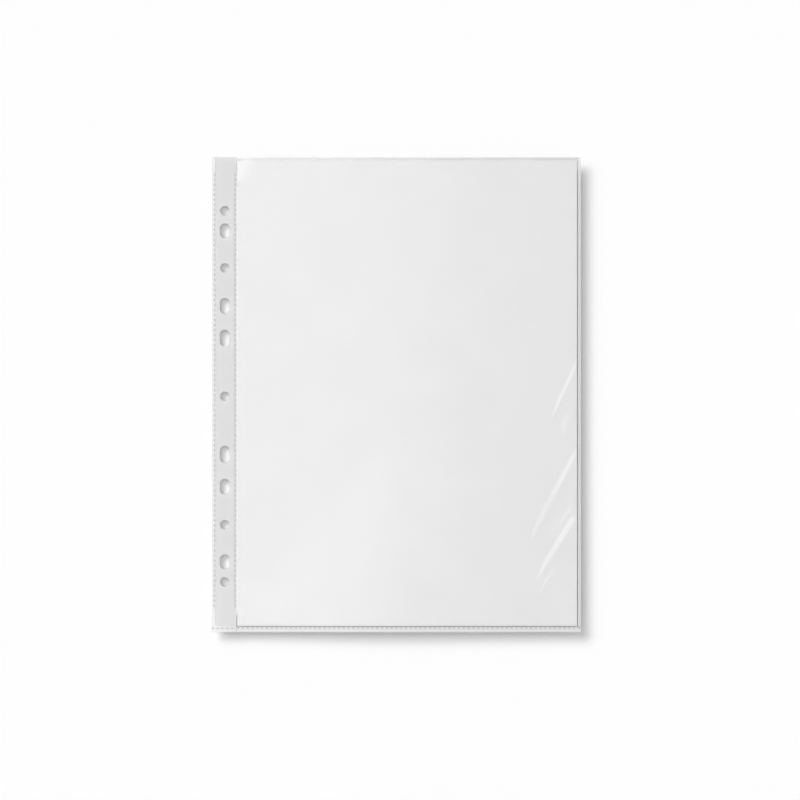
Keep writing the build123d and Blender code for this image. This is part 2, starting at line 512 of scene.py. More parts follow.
@dataclass(frozen=True)
class FilmFinish:
    """Clear film: faintly grey, glossy on both faces, dark at weld dots, and pale where creased or fused:
    partly milky film, partly painted light over the shade beneath.
    """

    name: str
    haze: float = 0.064
    haze_drift: float = 0.008
    tint: Colour = (0.35, 0.35, 0.35)
    # Haze and tint of the pale mask: partly milky film, partly painted light over the shade beneath.
    milk_and_light_haze: float = 0.35
    milk_and_light_tint: Colour = (0.90, 0.90, 0.90)
    dot_haze: float = 0.38
    dot_tint: Colour = (0.44, 0.44, 0.44)
    mirror: float = 0.056
    gloss: float = 0.13
    gloss_drift: float = 0.05
    ior: float = 1.49
    slant_power: float = 5.0
    patch_scale: float = 28.0
    grain_scale: float = 1500.0
    line_scale: float = 900.0
    grain_strength: float = 0.25
    grain_depth: float = 0.0015
    passed: float = 0.985
    dense_passed: float = 0.78

    def make(self, effects: SharedEffects) -> bpy.types.Material:
        """Builds the material.

        Args:
            effects: Shared node groups.

        Returns:
            The finished material.
        """
        finish = Finish(self.name, effects)
        nodes = finish.nodes
        grain = finish.grain(self.grain_scale, self.line_scale)
        milk_and_painted_light, dense, dot, painted_light = (finish.mask(name) for name in ("milk_and_painted_light", "dense", "dot", "painted_light"))
        normal = finish.bump(grain.outputs["Height"], self.grain_strength, self.grain_depth)
        haze = nodes.math("MULTIPLY_ADD", finish.cloud(self.patch_scale), self.haze_drift, self.haze)
        # The pale mask raises haze and whitens the tint: partly milky film, partly painted light over the
        # shade beneath it.
        haze = nodes.math("MULTIPLY_ADD", milk_and_painted_light, self.milk_and_light_haze, haze)
        # This mask adds painted shade at the mouth's rim and takes haze away beside the relief cut, a painted
        # highlight.
        haze = nodes.math("ADD", painted_light, haze)
        haze = nodes.math("MULTIPLY_ADD", dot, self.dot_haze, haze, clamp=True)
        tint = nodes.blend(milk_and_painted_light, (*self.tint, 1.0), (*self.milk_and_light_tint, 1.0))
        tint = nodes.blend(dot, tint, (*self.dot_tint, 1.0))
        rough = nodes.math("MULTIPLY_ADD", grain.outputs["Sheen"], self.gloss_drift, self.gloss)
        film = {"Base Color": tint, "Roughness": rough, "Alpha": haze, "Normal": normal, "IOR": self.ior}
        body = nodes.add("ShaderNodeBsdfPrincipled", film).outputs[0]
        gloss = {"Color": WHITE, "Roughness": rough, "Normal": normal}
        shine = nodes.add("ShaderNodeBsdfAnisotropic", gloss).outputs[0]
        facing = nodes.add("ShaderNodeLayerWeight", {"Blend": 0.5, "Normal": normal}).outputs["Facing"]
        slant = nodes.math("POWER", facing, self.slant_power)
        mirror = nodes.math("MULTIPLY_ADD", slant, 1.0 - self.mirror, self.mirror, clamp=True)
        seen = nodes.add("ShaderNodeMixShader", {0: mirror, 1: body, 2: shine}).outputs[0]
        passed = nodes.blend(dense, (*(self.passed,) * 3, 1.0), (*(self.dense_passed,) * 3, 1.0))
        return finish.close(finish.lets_light_through(seen, passed))


@dataclass(frozen=True)
class TapeFinish:
    """Milky reinforcing tape with soft, cloudy unevenness."""

    name: str
    body: float = 0.76
    body_drift: float = 0.05
    pale: Colour = (0.96, 0.96, 0.96)
    dull: Colour = (0.92, 0.92, 0.92)
    rough: float = 0.40
    rough_drift: float = 0.15
    patch_scale: float = 90.0
    grain_scale: float = 1100.0
    line_scale: float = 500.0
    grain_strength: float = 0.2
    grain_depth: float = 0.01
    passed: float = 0.22

    def make(self, effects: SharedEffects) -> bpy.types.Material:
        """Builds the material.

        Args:
            effects: Shared node groups.

        Returns:
            The finished material.
        """
        finish = Finish(self.name, effects)
        nodes = finish.nodes
        patch = finish.cloud(self.patch_scale)
        grain = finish.grain(self.grain_scale, self.line_scale)
        inputs = {
            "Base Color": nodes.blend(patch, (*self.pale, 1.0), (*self.dull, 1.0)),
            "Roughness": nodes.math("MULTIPLY_ADD", grain.outputs["Sheen"], self.rough_drift, self.rough),
            "Alpha": nodes.math("MULTIPLY_ADD", patch, self.body_drift, self.body, clamp=True),
            "Normal": finish.bump(grain.outputs["Height"], self.grain_strength, self.grain_depth),
        }
        seen = nodes.add("ShaderNodeBsdfPrincipled", inputs).outputs[0]
        return finish.close(finish.lets_light_through(seen, (*(self.passed,) * 3, 1.0)))


@dataclass(frozen=True)
class PaperFinish:
    """White office paper with a fibre felt and faint cockle."""

    name: str
    bright: Colour = (0.945, 0.945, 0.945)
    shaded: Colour = (0.925, 0.925, 0.925)
    rough: float = 0.62
    rough_drift: float = 0.12
    felt_scale: float = 2600.0
    felt_detail: float = 4.0
    felt_coarseness: float = 0.65
    fibre_scale: float = 900.0
    fibre_share: float = 0.4
    patch_scale: float = 35.0
    patch_share: float = 0.4
    felt_strength: float = 0.15
    felt_depth: float = 0.02
    specular: float = 0.25

    def make(self, effects: SharedEffects) -> bpy.types.Material:
        """Builds the material.

        Args:
            effects: Shared node groups.

        Returns:
            The finished material.
        """
        finish = Finish(self.name, effects)
        nodes = finish.nodes
        felt = nodes.noise(finish.place, self.felt_scale, self.felt_detail, self.felt_coarseness)
        cells = {"Vector": finish.place, "Scale": self.fibre_scale}
        fibre = nodes.add("ShaderNodeTexVoronoi", cells, feature="F1").outputs["Distance"]
        height = nodes.math("MULTIPLY_ADD", fibre, self.fibre_share, felt)
        speckle = nodes.math("MULTIPLY", felt, 1.0 - self.patch_share)
        tone = nodes.math("MULTIPLY_ADD", finish.cloud(self.patch_scale), self.patch_share, speckle)
        inputs = {
            "Base Color": nodes.blend(tone, (*self.bright, 1.0), (*self.shaded, 1.0)),
            "Roughness": nodes.math("MULTIPLY_ADD", felt, self.rough_drift, self.rough),
            "Normal": finish.bump(height, self.felt_strength, self.felt_depth),
            "Specular IOR Level": self.specular,
        }
        return finish.close(nodes.add("ShaderNodeBsdfPrincipled", inputs).outputs[0])


@dataclass(frozen=True)
class Curl:
    """The slight rise of a loose pocket towards its fold and its foot, in millimetres."""

    rise_at_fold: float = 1.66
    rise_at_foot: float = 2.28
    strip_rise: float = 1.3
    flat_to_x: float = -103.0
    strip_flat_to_y: float = -118.0
    panel_flat_to_y: float = -20.0
    settled_x: float = 10.0
    softness: float = 0.6

    def lift(self, x: np.ndarray, y: np.ndarray) -> np.ndarray:
        """Rise of each place above the flat pocket."""
        across = smooth(self.flat_to_x, self.settled_x, x)
        start = self.strip_flat_to_y + (self.panel_flat_to_y - self.strip_flat_to_y) * across
        rise = self.strip_rise + (self.rise_at_foot - self.strip_rise) * across
        at_fold = self.bend((x - self.flat_to_x) / (cad_high.x / MM - self.flat_to_x))
        at_foot = self.bend((y - start) / (cad_low.y / MM - start))
        return self.rise_at_fold * at_fold + rise * at_foot * (1.0 - at_fold)

    def bend(self, share: np.ndarray) -> np.ndarray:
        """Eases from flat into an even slope, as shares of the length and of the rise."""
        share = np.clip(share, 0.0, 1.0)
        return (1.0 + self.softness) * share**2 / (share + self.softness)

    def apply(self, mesh: bpy.types.Mesh) -> None:
        """Raises the points of a mesh."""
        points = np.empty(len(mesh.vertices) * 3)
        mesh.vertices.foreach_get("co", points)
        places = points.reshape(-1, 3)
        places[:, 2] += self.lift(places[:, 0] / MM, places[:, 1] / MM) * MM
        mesh.vertices.foreach_set("co", points)
        mesh.update()


class Piece:
    """What every finished piece gets: its curl, a material, a body and the nodes it stands for."""

    CURL = Curl()

    @staticmethod
    def place(
        piece: bpy.types.Object,
        body: Body,
        slot: Slot,
        material: bpy.types.Material,
        stands_for: Sequence[str],
    ) -> bpy.types.Object:
        """Dresses a piece and puts it on its body.

        Args:
            piece: Finished mesh object.
            body: Body that it rides on.
            slot: Material slot of the record; not used.
            material: Its finish.
            stands_for: CAD nodes that it replaces.

        Returns:
            The same piece.
        """
        Piece.dress(piece, slot, material, stands_for)
        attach(piece, body.value)
        return piece

    @staticmethod
    def dress(
        piece: bpy.types.Object, slot: Slot, material: bpy.types.Material, stands_for: Sequence[str]
    ) -> None:
        """Gives a piece its curl and its finish, and hides the nodes that it stands for."""
        Piece.CURL.apply(piece.data)
        piece.data.materials.clear()
        piece.data.materials.append(material)
        if stands_for:
            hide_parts(*stands_for)
        LOG.info("%s: %d faces, finish %s", piece.name, len(piece.data.polygons), material.name)


@dataclass(frozen=True)
class Wrinkle:
    """A slack ridge in the front film, from the fold into the panel, in millimetres."""

    path: tuple[Point, ...]
    half_width: float
    end_width: float
    steepness: float = 0.085
    end_steepness: float = 0.085
    rise: float = 0.15
    fall: float = 0.65
    starts: float = -0.05
    ends: float = 1.05
    eases_from: float = 0.3
    eases_to: float = 0.6

    def lift(self, x: np.ndarray, y: np.ndarray) -> np.ndarray:
        """Height of the ridge over the film.

        Args:
            x: Places across.
            y: Places up and down.

        Returns:
            The lift at each place.
        """
        nodes = np.array(self.path)
        legs = np.diff(nodes, axis=0)
        lengths = np.linalg.norm(legs, axis=1)
        before = np.concatenate([[0.0], np.cumsum(lengths)])
        best = np.full(x.shape, np.inf)
        share = np.zeros(x.shape)
        for start, leg, length, done in zip(nodes, legs, lengths, before):
            along = np.clip(((x - start[0]) * leg[0] + (y - start[1]) * leg[1]) / length**2, 0.0, 1.0)
            apart = np.hypot(x - start[0] - along * leg[0], y - start[1] - along * leg[1])
            nearer = apart < best
            best = np.where(nearer, apart, best)
            share = np.where(nearer, (done + along * length) / before[-1], share)
        width = self.half_width + (self.end_width - self.half_width) * share
        width = width * smooth(self.starts, self.rise, share) * (1.0 - smooth(self.fall, self.ends, share))
        eased = smooth(self.eases_from, self.eases_to, share)
        steepness = self.steepness + (self.end_steepness - self.steepness) * eased
        near = np.clip(best / np.maximum(width, 1e-6), 0.0, 1.0)
        return np.cos(near * math.pi / 2) ** 2 * width * steepness


@dataclass(frozen=True)
class PocketFilm:
    """The folded film of the pocket: front with a relief cut and wrinkles, creased edge, and back."""

    relief_width: float = 8.4
    relief_depth: float = 18.6
    coarse: float = 5.5
    fine: float = 0.7
    fine_from_x: float = 78.0
    fine_from_y: float = -136.0
    fine_to_y: float = 32.0
    fold_steps: int = 15
    back_steps: int = 24
    slack: float = 0.035
    slack_waves: tuple[Ripple, ...] = (Ripple(0.5, 17.0, 46.0, 0.7), Ripple(0.5, 29.0, -31.0, 2.1))
    taut_by_seam: float = 12.0
    taut_by_fold: float = 3.0
    taut_by_crease: float = 0.8
    relief_stretch: float = 40.0
    rim_fade: float = 0.3
    # Grey haze painted on the film beyond the sheet's top edge, as shade at the mouth's rim.
    painted_rim_shade: float = 0.02
    # Haze taken off the front film beside the relief cut, a painted highlight.
    painted_cut_highlight: float = 0.038
    # Painted light on the front film where it meets the fold.
    painted_crease_light: float = 0.2
    # Width of the band by the hinge, its strength and where it starts above the foot, for painted light over
    # the shade beside the hinge seam.
    painted_light_band: float = 1.2
    painted_light_peak: float = 2.0
    painted_light_from: float = 8.8
    wrinkles: tuple[Wrinkle, ...] = (
        Wrinkle(((120.6, 27.5), (117.3, 19.3), (109.5, 2.4), (100.0, -17.6)), 2.2, 2.7, rise=0.04),
        Wrinkle(((115.5, -7.6), (107.7, -27.0)), 5.0, 5.0, 0.023, 0.023, rise=0.4),
        Wrinkle(
            ((120.2, -32.0), (104.3, -63.3), (97.7, -76.3), (89.8, -90.9), (86.5, -96.8)),
            2.4, 6.0, 0.085, 0.027, rise=0.04, fall=0.75,
        ),
        Wrinkle(((116.2, -70.3), (105.5, -84.8)), 2.0, 2.0, 0.055, 0.055, rise=0.3),
        Wrinkle(((117.8, -79.1), (88.6, -124.1)), 5.0, 3.6, 0.085, 0.064, rise=0.06, fall=0.6),
        Wrinkle(((105.9, -108.5), (91.2, -132.6)), 3.2, 3.2, 0.03, 0.03, rise=0.3),
    )

    def build(self, places: Places, finish: bpy.types.Material) -> bpy.types.Object:
        """Makes the film.

        Args:
            places: Edges and levels.
            finish: Clear film material.

        Returns:
            The piece.
        """
        rows = self.rows(places)
        front = self.front(places, rows)
        fold = self.fold(places, rows)
        back = self.back(places, rows)
        middle = np.concatenate([front, fold, back], axis=1)
        # Beside the hinge the film is painted pale, a painted light over the shade seen between the hinge
        # seam and the sheet; it stays off near the foot.
        milk_and_painted_light = self.painted_light_peak * (1.0 - smooth(0.0, self.painted_light_band, middle[:, :, 0] - places.panel_left))
        milk_and_painted_light *= smooth(self.painted_light_from, self.painted_light_from + self.coarse, rows - places.foot)[:, None]
        # The last front column is painted pale, a painted light over the shaded gap between the sheet's edge
        # and the fold.
        milk_and_painted_light[:, front.shape[1] - 1] = self.painted_crease_light
        dense = np.zeros_like(milk_and_painted_light)
        # The whole fold is painted pale, partly the milkiness of a real crease and partly painted light over
        # the shade beneath it; dense makes it cast a fuller shadow.
        for mask in (milk_and_painted_light, dense):
            mask[:, front.shape[1] : front.shape[1] + fold.shape[1]] = 1.0
        # Painted shade: beyond the sheet's top edge the fold and back film get extra grey haze, which darkens
        # the mouth's rim.
        painted_light = self.painted_rim_shade * smooth(-self.rim_fade, self.rim_fade, middle[:, :, 1] - places.sheet_high.y)
        # Painted highlight: beside the relief cut the front film loses haze, so the paper there shows paler.
        painted_light[:, : front.shape[1]] = -self.painted_cut_highlight * self.beside_cut(places, front)
        piece = MeshKit.solid("pocket_film", MeshKit.shell(middle, places.film), crease_deg=62.0)
        for name, mask in (("milk_and_painted_light", milk_and_painted_light), ("dense", dense), ("painted_light", painted_light)):
            MeshKit.mark(piece, name, np.tile(mask.ravel(), 2))
        Piece.place(piece, Body.POCKET, Slot.CLEAR, finish, ["front_panel", "side_fold", "back_panel"])
        return piece

    def beside_cut(self, places: Places, front: np.ndarray) -> np.ndarray:
        """Says how near each place of the front film is to the relief cut, from 0 to 1."""
        away = front[:, :, 0] - front[:, :1, 0]
        open_here = smooth(0.0, self.coarse, front[:, :, 1] - places.pocket_mouth + self.relief_depth)
        return np.clip(1.0 - away / self.coarse, 0.0, 1.0) * open_here

    def rows(self, places: Places) -> np.ndarray:
        """Places of the grid's rows, closer together where the wrinkles are."""
        cut = places.pocket_mouth - self.relief_depth
        rim = (places.sheet_high.y - self.rim_fade, places.sheet_high.y + self.rim_fade)
        stops = (places.panel_foot, self.fine_from_y, self.fine_to_y, cut, *rim, places.pocket_mouth)
        steps = (self.coarse / 2, self.fine, self.coarse, self.coarse / 2, self.rim_fade, self.coarse)
        runs = [np.arange(low, high - step / 2, step) for low, high, step in zip(stops, stops[1:], steps)]
        return np.concatenate([*runs, [places.pocket_mouth]])

    def front(self, places: Places, rows: np.ndarray) -> np.ndarray:
        """Grid of the front film's middle surface."""
        left = np.arange(places.panel_left + self.painted_light_band, self.fine_from_x - self.coarse / 2, self.coarse)
        count = round((places.panel_right - self.fine_from_x) / self.fine) + 1
        right = np.linspace(self.fine_from_x, places.panel_right, count)
        x, y = np.meshgrid(np.concatenate([[places.panel_left], left, right]), rows)
        cut = np.clip((y - places.pocket_mouth + self.relief_depth) / self.relief_depth, 0.0, 1.0)
        far = np.clip((x - places.panel_left) / self.relief_stretch, 0.0, 1.0)
        x = x + cut * self.relief_width * (1.0 - far)
        lift = np.zeros_like(x)
        for wrinkle in self.wrinkles:
            lift = np.maximum(lift, wrinkle.lift(x, y))
        from_fold = places.panel_right - x
        loose = smooth(0.0, self.taut_by_seam, x - places.panel_left)
        loose = loose * smooth(0.0, self.taut_by_seam, y - places.panel_foot)
        loose = loose * smooth(0.0, self.taut_by_fold, from_fold)
        wave = 1.0 + sum(ripple.lift(x, y) for ripple in self.slack_waves)
        lift = lift * smooth(0.0, self.taut_by_crease, from_fold) + self.slack * wave * loose
        level = places.top - places.film / 2
        return np.stack([x, y, level + lift], axis=-1)

    def fold(self, places: Places, rows: np.ndarray) -> np.ndarray:
        """Grid of the creased edge, without the columns that front and back already have."""
        half = (places.top - places.film) / 2
        reach = places.right - places.film / 2 - places.panel_right
        turn = np.linspace(1.0, -1.0, self.fold_steps + 2)[1:-1]
        size = np.abs(turn)
        x = places.panel_right + reach * (1.0 - size**2)
        z = places.middle + half * np.sign(turn) * (2.0 * size - size**2)
        columns = np.stack([x, np.zeros_like(x), z], axis=-1)
        grid = np.repeat(columns[None], len(rows), axis=0)
        grid[:, :, 1] = rows[:, None]
        return grid

    def back(self, places: Places, rows: np.ndarray) -> np.ndarray:
        """Grid of the back film, from the crease to the hinge."""
        columns = np.linspace(places.panel_right, places.panel_left + self.painted_light_band, self.back_steps)
        x, y = np.meshgrid(np.append(columns, places.panel_left), rows)
        return np.stack([x, y, np.full_like(x, places.film / 2)], axis=-1)


@dataclass(frozen=True)
class DotRow:
    """A row of pressed weld dots, in millimetres."""

    row: float
    first: float
    last: float
    pitch: float
    length: float = 1.8
    width: float = 0.95
    depth: float = 0.06

    @classmethod
    def between(cls, row: float, start: float, end: float, pitch: float, **sizes: float) -> "DotRow":
        """Centres as many dots as fit between two places on a row."""
        count = max(1, int((end - start - cls.length) // pitch) + 1)
        middle = (start + end) / 2
        reach = (count - 1) * pitch / 2
        return cls(row, middle - reach, middle + reach, pitch, **sizes)


class DotPress:
    """Geometry Nodes that press a row of weld dots into a seam."""

    SIZES = ("Row", "First", "Last", "Pitch", "Dot Length", "Dot Width", "Depth")
    UPWARD = (0.3, 0.9)
    ROUNDNESS = 2.6
    RIM = (0.35, 1.15)

    def __init__(self) -> None:
        """Builds the tree once."""
        self.tree = bpy.data.node_groups.new("press_weld_dots", "GeometryNodeTree")
        nodes = Nodes(self.tree)
        nodes.socket("Geometry", "Geometry")
        self.inputs = {name: nodes.socket(name, "Float") for name in self.SIZES}
        self.inputs["Along X"] = nodes.socket("Along X", "Bool")
        self.inputs["Finish"] = nodes.socket("Finish", "Material")
        nodes.socket("Geometry", "Geometry", output=True)
        inside = nodes.add("NodeGroupInput").outputs
        place = nodes.parts(nodes.add("GeometryNodeInputPosition").outputs[0])
        up = nodes.parts(nodes.add("GeometryNodeInputNormal").outputs[0])["Z"]
        pressed = self.press(nodes, inside, place)
        facing = nodes.ease(up, *self.UPWARD, 0.0, 1.0)
        sink = nodes.math("MULTIPLY", nodes.math("MULTIPLY", pressed, facing), inside["Depth"])
        offset = nodes.add("ShaderNodeCombineXYZ", {"Z": nodes.math("MULTIPLY", sink, -1.0)}).outputs[0]
        named = nodes.add(
            "GeometryNodeStoreNamedAttribute",
            {"Geometry": inside["Geometry"], "Name": "dot", "Value": pressed},
            data_type="FLOAT",
            domain="POINT",
        ).outputs[0]
        moved = nodes.add("GeometryNodeSetPosition", {"Geometry": named, "Offset": offset}).outputs[0]
        nodes.end(moved, inside["Finish"])

    def press(self, nodes: Nodes, inside: Any, place: Any) -> bpy.types.NodeSocket:
        """Adds the nodes that say how far a point is pressed.

        Args:
            nodes: The tree's nodes.
            inside: Outputs of the group's input node.
            place: X, Y and Z of a point.

        Returns:
            A value from 0, between the dots, to 1, on a dot.
        """
        chosen = {}
        for name, off, on in (("along", "Y", "X"), ("across", "X", "Y")):
            inputs = {"Switch": inside["Along X"], "False": place[off], "True": place[on]}
            chosen[name] = nodes.add("GeometryNodeSwitch", inputs, input_type="FLOAT").outputs[0]
        half_pitch = nodes.math("MULTIPLY", inside["Pitch"], 0.5)
        from_first = nodes.math("SUBTRACT", chosen["along"], inside["First"])
        near = nodes.math("WRAP", from_first, half_pitch, nodes.math("MULTIPLY", half_pitch, -1.0))
        aside = nodes.math("SUBTRACT", chosen["across"], inside["Row"])
        powers = []
        for away, size in ((near, "Dot Length"), (aside, "Dot Width")):
            share = nodes.math("DIVIDE", away, nodes.math("MULTIPLY", inside[size], 0.5))
            powers.append(nodes.math("POWER", nodes.math("ABSOLUTE", share), self.ROUNDNESS))
        apart = nodes.math("ADD", *powers)
        row_start = nodes.math("SUBTRACT", inside["First"], half_pitch)
        row_end = nodes.math("ADD", inside["Last"], half_pitch)
        after = nodes.math("GREATER_THAN", chosen["along"], row_start)
        before = nodes.math("LESS_THAN", chosen["along"], row_end)
        on_row = nodes.math("MULTIPLY", after, before)
        return nodes.math("MULTIPLY", nodes.ease(apart, *self.RIM, 1.0, 0.0), on_row)

    def apply(self, piece: bpy.types.Object, dots: DotRow, run: Run, finish: bpy.types.Material) -> None:
        """Presses a row of dots into a piece and makes the result its mesh.

        Args:
            piece: Plain seam.
            dots: Places and sizes of the dots.
            run: Direction of the row.
            finish: Material of the seam.
        """
        sizes = (dots.row, dots.first, dots.last, dots.pitch, dots.length, dots.width, dots.depth)
        modifier = piece.modifiers.new("press_weld_dots", "NODES")
        modifier.node_group = self.tree
        for name, size in zip(self.SIZES, sizes):
            modifier[self.inputs[name]] = size * MM
        modifier[self.inputs["Along X"]] = run is Run.ALONG_X
        modifier[self.inputs["Finish"]] = finish
        MeshKit.settle(piece)


@dataclass(frozen=True)
class WeldSeam:
    """A welded seam: a fused land with dots, and films that part from it on one side or both."""

    name: str
    run: Run
    start: float
    end: float
    edge: float
    land: float
    ramp: float
    spread: float
    dots: DotRow
    back_ramp: float = 0.0
    back_spread: float = 0.0
    steps_per_dot: int = 11
    ramp_steps: int = 6
    back_steps: int = 5
    across_step: float = 0.2
    # How far past the land the film is painted pale, as painted light over the shaded floor seen through the
    # ramps:
    painted_light_reach: float = 0.3
    bare_painted_light_reach: float = 0.3
    painted_light_below: float = 0.0
    dense_reach: float = 0.3
    rise: float = 0.0
    clear: float = 0.01

    def build(self, places: Places, press: DotPress, finish: bpy.types.Material) -> bpy.types.Object:
        """Makes the seam.

        Args:
            places: Edges and levels.
            press: Geometry Nodes for the dots.
            finish: Fused film material.

        Returns:
            The piece, without a body yet.
        """
        step = self.dots.pitch / self.steps_per_dot
        count = round((self.end - self.start) / step) + 1
        stations = np.linspace(self.start, self.end, count)
        section = self.section(places)
        piece = MeshKit.solid(self.name, MeshKit.prism(section, stations, self.run), crease_deg=55.0)
        across = np.array(section)[:, 0] - self.edge - self.land
        # Pale on the land, partly a milky weld, and on the ramps beyond it painted light over the shade
        # beneath.
        MeshKit.mark(piece, "milk_and_painted_light", 1.0 - smooth(0.0, self.painted_light_reach_at(stations)[:, None], across))
        MeshKit.mark(piece, "dense", np.tile(1.0 - smooth(0.0, self.dense_reach, across), count))
        press.apply(piece, self.dots, self.run, finish)
        return piece

    def painted_light_reach_at(self, stations: np.ndarray) -> np.ndarray:
        """Says how far beyond the land the film is painted pale, as painted light over the shade under the
        ramps, which reaches further beside the dots.
        """
        dots = self.dots
        lowest = dots.first - self.painted_light_below
        beside = smooth(lowest - dots.pitch, lowest, stations)
        beside *= 1.0 - smooth(dots.last, dots.last + dots.pitch, stations)
        return self.bare_painted_light_reach + (self.painted_light_reach - self.bare_painted_light_reach) * beside

    def section(self, places: Places) -> list[Point]:
        """Closed outline of the seam as (across, height): parted films, top of the land and far side."""
        film, level = places.film, places.middle + self.rise
        first = self.edge + self.back_ramp
        last = self.edge + self.land
        share = np.linspace(0.0, 1.0, self.ramp_steps)
        near = last + (self.ramp - self.clear) * share
        films = self.part(near, smooth(0.0, 1.0, share), self.spread, film, level)
        low_out, low_in, high_in, high_out = films
        steps = max(3, round((last - first) / self.across_step))
        top = [(float(x), level + film) for x in np.linspace(last, first, steps + 1)[1:-1]]
        ramps = low_out + low_in[::-1] + high_in[1:] + high_out[::-1]
        return ramps + top + self.free_side(first, film, level)

    def part(
        self, across: np.ndarray, share: np.ndarray, spread: float, film: float, level: float
    ) -> tuple[list[Point], ...]:
        """Runs two films apart.

        Args:
            across: Places from the land outwards.
            share: How far the films have parted at each place, from 0 to 1.
            spread: Gap between the films where they have parted.
            film: Thickness of a film.
            level: Level of the middle of the land.

        Returns:
            Outer and inner face of the lower film, then inner and outer face of the upper film.
        """
        up, down = spread / 2 - self.rise, spread / 2 + self.rise
        heights = (
            level - film - down * share,
            level - down * share,
            level + up * share,
            level + film + up * share,
        )
        return tuple(list(zip(across.tolist(), height.tolist())) for height in heights)

    def free_side(self, first: float, film: float, level: float) -> list[Point]:
        """Corners on the far side of the land: a rounded edge, or two more films that part."""
        if self.back_ramp == 0.0:
            nick = film / 3
            return [
                (first + nick, level + film),
                (first, level + film - nick),
                (first, level - film + nick),
                (first + nick, level - film),
            ]
        share = np.linspace(0.0, 1.0, self.back_steps)
        away = first - (self.back_ramp - self.clear) * share
        low_out, low_in, high_in, high_out = self.part(away, share, self.back_spread, film, level)
        return high_out + high_in[::-1] + low_in[1:] + low_out[::-1]


@dataclass(frozen=True)
class Seams:
    """The four welded seams of the pocket and its strip, in millimetres."""

    ramp: float = 0.5
    outer_land: float = 2.2
    bottom_land: float = 3.3
    hinge_land: float = 1.39
    hinge_ramp: float = 0.5
    hinge_back_ramp: float = 0.5
    side_pitch: float = 3.24
    bottom_pitch: float = 3.10
    outer_row: float = 1.75
    foot_row: float = 2.75
    strip_foot_row: float = 2.45
    hinge_row: float = 1.15
    hinge_dot_length: float = 1.7
    hinge_dot_width: float = 1.05
    foot_dot_width: float = 1.1
    # How far past their lands the seams are painted pale, as painted light over the shade under their ramps:
    outer_painted_light_reach: float = 0.6
    hinge_painted_light_reach: float = 1.4
    hinge_bare_painted_light_reach: float = 0.75
    hinge_painted_light_below: float = 5.2
    strip_foot_painted_light_reach: float = 1.5
    strip_rise: float = 0.18
    foot_rise: float = 0.05
    bare_at_mouth: float = 10.0
    bare_at_foot: float = 15.5

    def build(self, places: Places, finish: bpy.types.Material) -> list[bpy.types.Object]:
        """Makes the seams and puts them on their bodies.

        Args:
            places: Edges and levels.
            finish: Fused film material.

        Returns:
            The pieces.
        """
        press = DotPress()
        made = []
        for seam, body, node in self.listed(places):
            piece = seam.build(places, press, finish)
            if body is None:
                Piece.dress(piece, Slot.FUSED, finish, [node])
                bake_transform(piece)
            else:
                Piece.place(piece, body, Slot.FUSED, finish, [node])
            made.append(piece)
        return made

    def listed(self, places: Places) -> list[tuple[WeldSeam, Body | None, str]]:
        """Each seam with its body, or None where it bends between two, and its CAD node."""
        low, high = places.foot + self.bare_at_foot, places.mouth - self.bare_at_mouth
        room = places.top - 2 * places.film
        outer_dots = DotRow.between(places.left + self.outer_row, low, high, self.side_pitch)
        hinge_row = places.tape_right + self.hinge_row
        hinge_dots = DotRow.between(
            hinge_row, low, high, self.side_pitch, length=self.hinge_dot_length, width=self.hinge_dot_width
        )
        foot_row = places.foot + self.foot_row
        foot_dots = DotRow.between(
            foot_row, places.panel_left, places.right, self.bottom_pitch, width=self.foot_dot_width
        )
        strip_row = places.foot + self.strip_foot_row
        strip_dots = DotRow.between(strip_row, places.left, places.tape_right, self.bottom_pitch)
        across, along = Run.ALONG_X, Run.ALONG_Y
        outer = WeldSeam(
            "outer_seam", along, places.panel_foot, places.mouth, places.left,
            self.outer_land, self.ramp, room, outer_dots, painted_light_reach=self.outer_painted_light_reach,
        )
        hinge = WeldSeam(
            "hinge_seam", along, places.foot, places.mouth, places.tape_right,
            self.hinge_land, self.hinge_ramp, room, hinge_dots, self.hinge_back_ramp, room,
            painted_light_reach=self.hinge_painted_light_reach, bare_painted_light_reach=self.hinge_bare_painted_light_reach, painted_light_below=self.hinge_painted_light_below,
            rise=self.strip_rise,
        )
        bottom = WeldSeam(
            "foot_seam", across, places.panel_left, places.right, places.foot,
            self.bottom_land, self.ramp, room, foot_dots, rise=self.foot_rise,
        )
        strip_foot = WeldSeam(
            "strip_foot_seam", across, places.left, places.tape_right, places.foot,
            self.bottom_land, self.ramp, room, strip_dots,
            painted_light_reach=self.strip_foot_painted_light_reach, bare_painted_light_reach=self.strip_foot_painted_light_reach, rise=self.strip_rise,
        )
        return [
            (outer, Body.STRIP, "outer_weld"),
            (hinge, None, "hinge_weld"),
            (bottom, Body.POCKET, "bottom_weld"),
            (strip_foot, Body.STRIP, "strip_foot_weld"),
        ]


